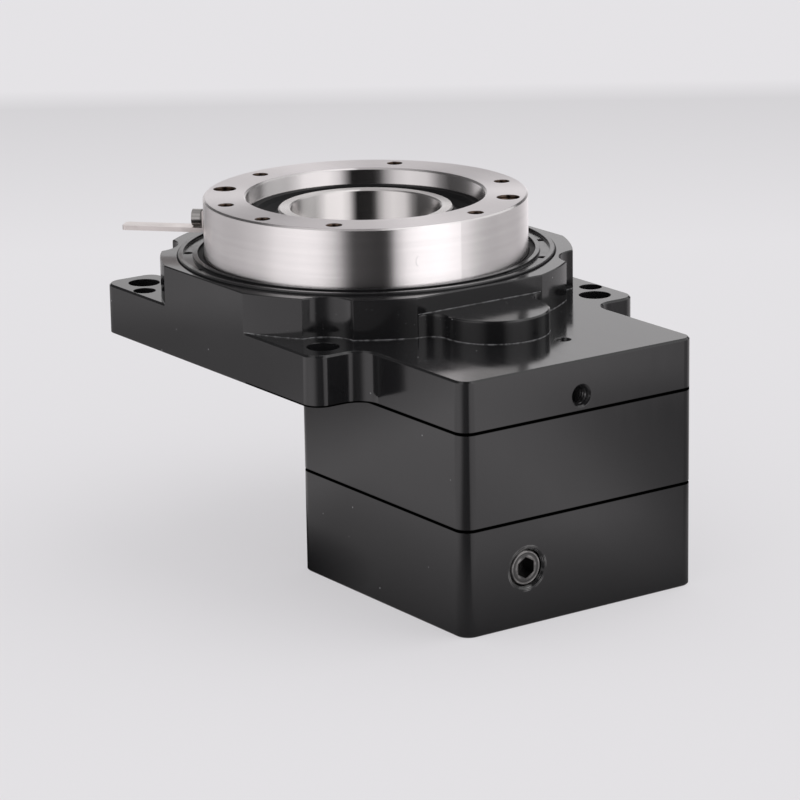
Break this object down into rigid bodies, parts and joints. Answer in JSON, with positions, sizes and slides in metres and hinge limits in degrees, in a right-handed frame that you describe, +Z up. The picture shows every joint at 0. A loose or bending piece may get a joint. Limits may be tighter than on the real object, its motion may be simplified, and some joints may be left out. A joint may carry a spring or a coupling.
{
  "type": "hollow rotary platform",
  "caption": "Flat rotary table with a wide open bore in a black eared housing; a square motor adapter block hangs under its extended end.",
  "frame": {"origin": "on the turntable's axis at the housing's flat mounting face", "axes": "+Z up along the hollow bore; +X from the bore towards the motor block; +Y completes a right-handed frame"},
  "size_m": [0.1193, 0.085, 0.0758],
  "materials": {
    "anodised_black": "gloss black anodised",
    "table_steel": "ground and polished",
    "sleeve_steel": "polished",
    "gear_steel": "machined and hardened",
    "bearing_steel": "ground",
    "black_steel": "black oxide",
    "screw_steel": "black oxide",
    "bright_screw": "plain",
    "seal_rubber": "matt",
    "dog_steel": "bright sheet"
  },
  "bodies": {
    "base": {"housing": "anodised_black", "lock_ring": "black_steel", "wiper_seal": "seal_rubber", "bearing_outer_upper": "bearing_steel", "bearing_outer_lower": "bearing_steel", "center_sleeve": "sleeve_steel", "sleeve_screws": "screw_steel", "upper_motor_block": "anodised_black", "lower_motor_block": "anodised_black", "corner_screws": "screw_steel", "floor_screws": "screw_steel", "flange_screws": "screw_steel", "upper_outer_race": "bearing_steel", "lower_outer_race": "bearing_steel", "bearing_circlip": "black_steel", "pinion_seal": "seal_rubber", "access_plug": "black_steel"},
    "table": {"turntable": "table_steel", "inner_seal": "seal_rubber", "bearing_inner_ring": "bearing_steel", "ring_gear": "gear_steel", "gear_screws": "screw_steel", "gear_dowels": "bearing_steel", "sensor_dog": "dog_steel", "dog_washer": "bright_screw", "dog_screw": "bright_screw"},
    "pinion": {"pinion_shaft": "gear_steel", "clamp_screw": "screw_steel", "upper_inner_race": "bearing_steel", "lower_inner_race": "bearing_steel"},
    "roller_set": {"bearing_rollers": "bearing_steel"},
    "upper_ball_set": {"upper_balls": "bearing_steel"},
    "lower_ball_set": {"lower_balls": "bearing_steel"}
  },
  "joints": [
    {"name": "turntable_spin", "type": "hinge", "parent": "base", "child": "table", "pos_m": [0, 0, 0], "axis": [0, 0, 1], "continuous": true},
    {"name": "pinion_spin", "type": "hinge", "parent": "base", "child": "pinion", "pos_m": [0.0471, 0, 0], "axis": [0, 0, 1], "continuous": true},
    {"name": "roller_orbit", "type": "hinge", "parent": "base", "child": "roller_set", "pos_m": [0, 0, 0], "axis": [0, 0, 1], "continuous": true},
    {"name": "upper_ball_orbit", "type": "hinge", "parent": "base", "child": "upper_ball_set", "pos_m": [0.0471, 0, 0], "axis": [0, 0, 1], "continuous": true},
    {"name": "lower_ball_orbit", "type": "hinge", "parent": "base", "child": "lower_ball_set", "pos_m": [0.0471, 0, 0], "axis": [0, 0, 1], "continuous": true}
  ],
  "couplings": [
    {"joint": "pinion_spin", "follows": "turntable_spin", "ratio": -5},
    {"joint": "roller_orbit", "follows": "turntable_spin", "ratio": 0.4776},
    {"joint": "upper_ball_orbit", "follows": "turntable_spin", "ratio": -2},
    {"joint": "lower_ball_orbit", "follows": "turntable_spin", "ratio": -2.1538}
  ]
}
